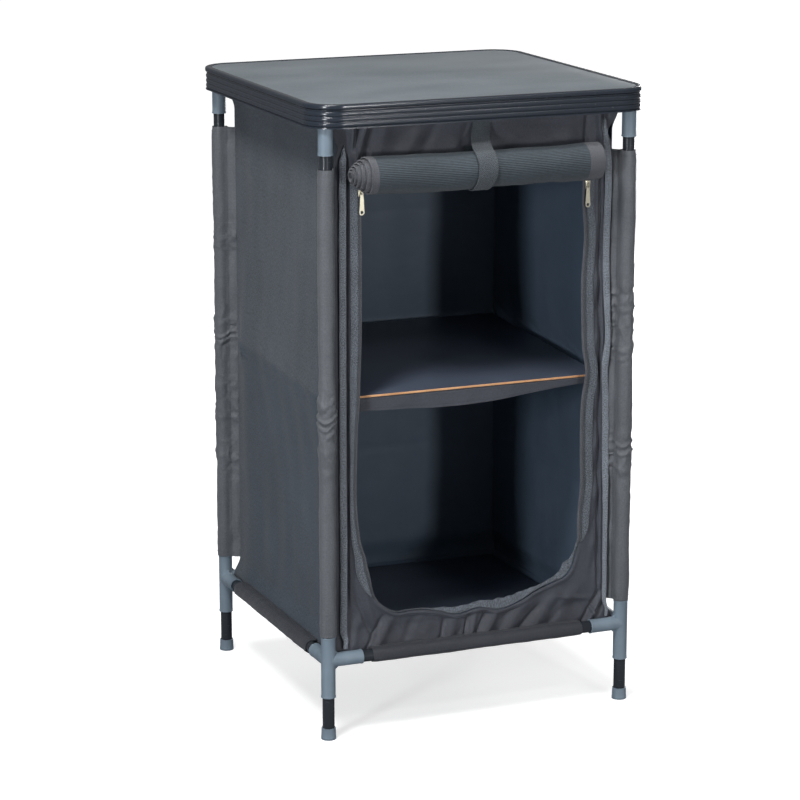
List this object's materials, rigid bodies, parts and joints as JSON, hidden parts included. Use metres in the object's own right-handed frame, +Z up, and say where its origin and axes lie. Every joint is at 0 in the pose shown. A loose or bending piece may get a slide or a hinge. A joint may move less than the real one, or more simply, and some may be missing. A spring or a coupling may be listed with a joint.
{
  "type": "camping cupboard",
  "caption": "Free-standing camping cupboard: tube frame, hung fabric walls, front opening with rolled zip door, cloth shelf with board, lift-off ribbed-edge tabletop.",
  "frame": {"origin": "on the floor, under the middle of the overall box", "axes": "+Z up, front with the door opening towards -Y, +X to the right as seen from the front"},
  "size_m": [0.565, 0.5606, 1.003],
  "materials": {
    "tube_black": "gloss powder coat",
    "moulding_grey": "satin moulded",
    "rim_satin": "satin",
    "table_laminate": "fine-grained matt laminate",
    "board_black": "matt foil on fibreboard, raw edges",
    "cloth_wall": "coated polyester, dark inside",
    "cloth_trim": "coated polyester",
    "door_mesh": "knitted mesh",
    "woven_tape": "woven tape",
    "zip_metal": "pale plated metal"
  },
  "bodies": {
    "cupboard": {"back_panel": "cloth_wall", "corner_binding_fl": "woven_tape", "corner_binding_fr": "woven_tape", "door_roll": "door_mesh", "floor_panel": "cloth_wall", "foot_cap_bl": "moulding_grey", "foot_cap_br": "moulding_grey", "foot_cap_fl": "moulding_grey", "foot_cap_fr": "moulding_grey", "front_panel": "cloth_wall", "left_panel": "cloth_wall", "leg_pole_bl": "tube_black", "leg_pole_br": "tube_black", "leg_pole_fl": "tube_black", "leg_pole_fr": "tube_black", "leg_sleeve_bl": "cloth_trim", "leg_sleeve_br": "cloth_trim", "leg_sleeve_fl": "cloth_trim", "leg_sleeve_fr": "cloth_trim", "leg_stub_bl": "tube_black", "leg_stub_br": "tube_black", "leg_stub_fl": "tube_black", "leg_stub_fr": "tube_black", "lower_connector_bl": "moulding_grey", "lower_connector_br": "moulding_grey", "lower_connector_fl": "moulding_grey", "lower_connector_fr": "moulding_grey", "lower_rail_back": "tube_black", "lower_rail_front": "tube_black", "lower_rail_left": "tube_black", "lower_rail_right": "tube_black", "lower_rail_sleeve_back": "cloth_trim", "lower_rail_sleeve_front": "cloth_trim", "lower_rail_sleeve_left": "cloth_trim", "lower_rail_sleeve_right": "cloth_trim", "right_panel": "cloth_wall", "roll_strap": "woven_tape", "shelf_sling": "cloth_trim", "top_hem_back": "cloth_trim", "top_hem_front": "cloth_trim", "top_hem_left": "cloth_trim", "top_hem_right": "cloth_trim", "upper_connector_bl": "moulding_grey", "upper_connector_br": "moulding_grey", "upper_connector_fl": "moulding_grey", "upper_connector_fr": "moulding_grey", "upper_rail_back": "tube_black", "upper_rail_front": "tube_black", "upper_rail_left": "tube_black", "upper_rail_right": "tube_black", "zip_tape": "woven_tape"},
    "tabletop": {"tabletop_board": "table_laminate", "tabletop_rim": "rim_satin"},
    "shelf_board": {"shelf_board": "board_black"},
    "base_board": {"base_board": "board_black"},
    "zip_slider_l": {"zip_slider_l": "zip_metal"},
    "zip_slider_r": {"zip_slider_r": "zip_metal"},
    "zip_pull_l": {"zip_pull_l": "zip_metal"},
    "zip_pull_r": {"zip_pull_r": "zip_metal"},
    "zip_pull_r_inner": {"zip_pull_r_inner": "zip_metal"}
  },
  "joints": [
    {"name": "tabletop_lift", "type": "slide", "parent": "cupboard", "child": "tabletop", "axis": [0, 0, 1], "range_m": [0, 0.1]},
    {"name": "shelf_board_lift", "type": "slide", "parent": "cupboard", "child": "shelf_board", "axis": [0, 0, 1], "range_m": [0, 0.3]},
    {"name": "base_board_lift", "type": "slide", "parent": "cupboard", "child": "base_board", "axis": [0, 0, 1], "range_m": [0, 0.3]},
    {"name": "zip_slide_l", "type": "slide", "parent": "cupboard", "child": "zip_slider_l", "axis": [0, 0, -1], "range_m": [0, 0.575]},
    {"name": "zip_slide_r", "type": "slide", "parent": "cupboard", "child": "zip_slider_r", "axis": [0, 0, -1], "range_m": [0, 0.56]},
    {"name": "pull_swing_l", "type": "hinge", "parent": "zip_slider_l", "child": "zip_pull_l", "pos_m": [-0.1905, -0.22015, 0.8608], "axis": [-1, 0, 0], "range_deg": [0, 80]},
    {"name": "pull_swing_r", "type": "hinge", "parent": "zip_slider_r", "child": "zip_pull_r", "pos_m": [0.1905, -0.22015, 0.8478], "axis": [-1, 0, 0], "range_deg": [0, 80]},
    {"name": "pull_swing_r_inner", "type": "hinge", "parent": "zip_slider_r", "child": "zip_pull_r_inner", "pos_m": [0.1905, -0.21015, 0.8478], "axis": [1, 0, 0], "range_deg": [0, 80]}
  ]
}
